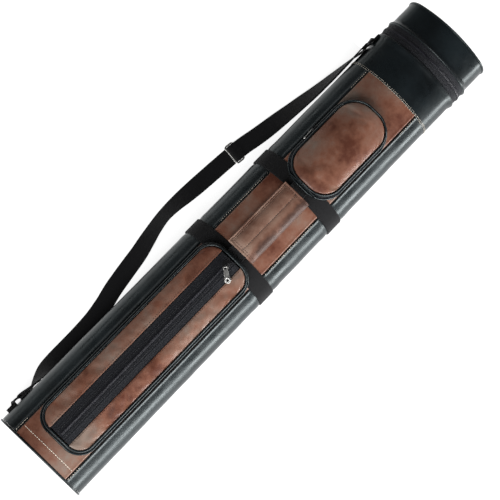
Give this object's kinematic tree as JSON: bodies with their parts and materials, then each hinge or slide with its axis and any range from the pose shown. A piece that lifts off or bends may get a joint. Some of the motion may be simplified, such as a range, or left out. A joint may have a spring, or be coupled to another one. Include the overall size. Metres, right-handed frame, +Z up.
{
  "type": "cue case",
  "caption": "Long hard-sided cue case with a D-shaped section, hinged zip lid, two raised front pockets, a flat carry handle, an adjustable shoulder strap and cue tubes inside.",
  "frame": {"origin": "on the ground under the middle of the case, which lies on its flat back", "axes": "+X from the base to the lid, +Y towards the side with the shoulder strap, +Z up out of the back through the pockets"},
  "size_m": [0.813, 0.1906, 0.0867],
  "materials": {
    "black_vinyl": "semi-gloss black vinyl with a fine leather grain",
    "brown_vinyl": "satin mottled brown vinyl with a fine leather grain",
    "black_webbing": "matte black woven webbing",
    "zip_tape": "matte woven zip tape and nylon coil",
    "lining": "matte brushed black lining",
    "silver_metal": "bright nickel plate",
    "black_metal": "black enamelled metal",
    "shell_board": "rolled fibreboard",
    "tube_plastic": "matte black plastic tube",
    "foam": "closed-cell foam"
  },
  "bodies": {
    "case_body": {"body_shell": "shell_board", "base_cap": "black_vinyl", "base_piping": "black_vinyl", "front_panel": "brown_vinyl", "side_and_back_wrap": "black_vinyl", "top_yoke": "black_vinyl", "webbing_band_lower": "black_webbing", "webbing_band_upper": "black_webbing", "butt_tube_left": "tube_plastic", "butt_tube_right": "tube_plastic", "butt_pad_left": "foam", "butt_pad_right": "foam", "shaft_tube_1": "tube_plastic", "shaft_tube_2": "tube_plastic", "shaft_tube_3": "tube_plastic", "shaft_tube_4": "tube_plastic", "tube_collar": "foam", "base_foam": "foam", "lid_zip_tape_body": "zip_tape", "hinge_strip_body": "black_vinyl", "long_pocket_gusset": "black_vinyl", "long_pocket_base_piping": "black_vinyl", "long_pocket_face_piping": "black_vinyl", "long_pocket_panel_left": "brown_vinyl", "long_pocket_panel_right": "brown_vinyl", "long_zip_tape": "zip_tape", "long_zip_coil": "zip_tape", "small_pocket_gusset": "black_vinyl", "small_pocket_base_piping": "black_vinyl", "handle_tab_lower": "black_webbing", "handle_tab_upper": "black_webbing", "ring_tab_top": "black_webbing", "ring_tab_bottom": "black_webbing", "shoulder_strap": "black_webbing", "strap_return": "black_webbing"},
    "lid": {"lid_shell": "shell_board", "lid_wrap": "black_vinyl", "lid_cap": "black_vinyl", "lid_piping": "black_vinyl", "lid_foam_pad": "foam", "lid_liner": "lining", "lid_zip_tape_lid": "zip_tape", "hinge_strip_lid": "black_vinyl"},
    "lid_slider": {"lid_zip_slider": "black_metal"},
    "lid_pull": {"lid_zip_pull": "black_metal"},
    "handle": {"handle_wrap": "brown_vinyl", "handle_webbing": "black_webbing"},
    "long_slider": {"long_zip_slider": "black_metal"},
    "long_pull": {"long_zip_pull": "silver_metal"},
    "small_cover": {"small_cover_gusset": "black_vinyl", "small_cover_piping": "black_vinyl", "small_cover_face": "brown_vinyl"},
    "small_slider": {"small_zip_slider": "black_metal"},
    "small_pull": {"small_zip_pull": "silver_metal"},
    "ring_top": {"d_ring_top": "black_metal"},
    "ring_bottom": {"d_ring_bottom": "black_metal"},
    "strap_adjuster": {"tri_glide": "silver_metal"}
  },
  "joints": [
    {"name": "lid_hinge", "type": "hinge", "parent": "case_body", "child": "lid", "pos_m": [0.35, 0, 0.0011], "axis": [0, 1, 0], "range_deg": [0, 110]},
    {"name": "lid_slider_travel", "type": "hinge", "parent": "case_body", "child": "lid_slider", "pos_m": [0.35, 0.04, 0.0312], "axis": [1, 0, 0], "range_deg": [0, 38]},
    {"name": "lid_pull_flip", "type": "hinge", "parent": "lid_slider", "child": "lid_pull", "pos_m": [0.3485, 0.0662, 0.00922], "axis": [0, -0.6428, -0.766], "range_deg": [0, 100]},
    {"name": "handle_lift", "type": "slide", "parent": "case_body", "child": "handle", "axis": [0, 0, 1], "range_m": [0, 0.015]},
    {"name": "long_slider_travel", "type": "slide", "parent": "case_body", "child": "long_slider", "axis": [-1, 0, 0], "range_m": [0, 0.29]},
    {"name": "long_pull_flip", "type": "hinge", "parent": "long_slider", "child": "long_pull", "pos_m": [-0.063, -0.001, 0.0859], "axis": [-0.8144, 0.5803, 0], "range_deg": [0, 120]},
    {"name": "small_cover_hinge", "type": "hinge", "parent": "case_body", "child": "small_cover", "pos_m": [0.0925, 0, 0.074], "axis": [0, -1, 0], "range_deg": [0, 95]},
    {"name": "small_slider_travel", "type": "slide", "parent": "case_body", "child": "small_slider", "axis": [1, 0, 0], "range_m": [-0.033, 0.035]},
    {"name": "small_pull_flip", "type": "hinge", "parent": "small_slider", "child": "small_pull", "pos_m": [0.161, 0.0444, 0.06679], "axis": [0, 0, -1], "range_deg": [0, 110]},
    {"name": "ring_top_swing", "type": "hinge", "parent": "case_body", "child": "ring_top", "pos_m": [0.3225, 0.0726, 0.0312], "axis": [0, 0, -1], "range_deg": [0, 75]},
    {"name": "ring_bottom_swing", "type": "hinge", "parent": "case_body", "child": "ring_bottom", "pos_m": [-0.3795, 0.071, 0.02113], "axis": [0, 0.309, 0.9511], "range_deg": [0, 75]},
    {"name": "adjuster_slide", "type": "slide", "parent": "case_body", "child": "strap_adjuster", "axis": [0.9945, -0.1044, 0], "range_m": [-0.02, 0.015], "deforming": ["strap_return"]}
  ]
}
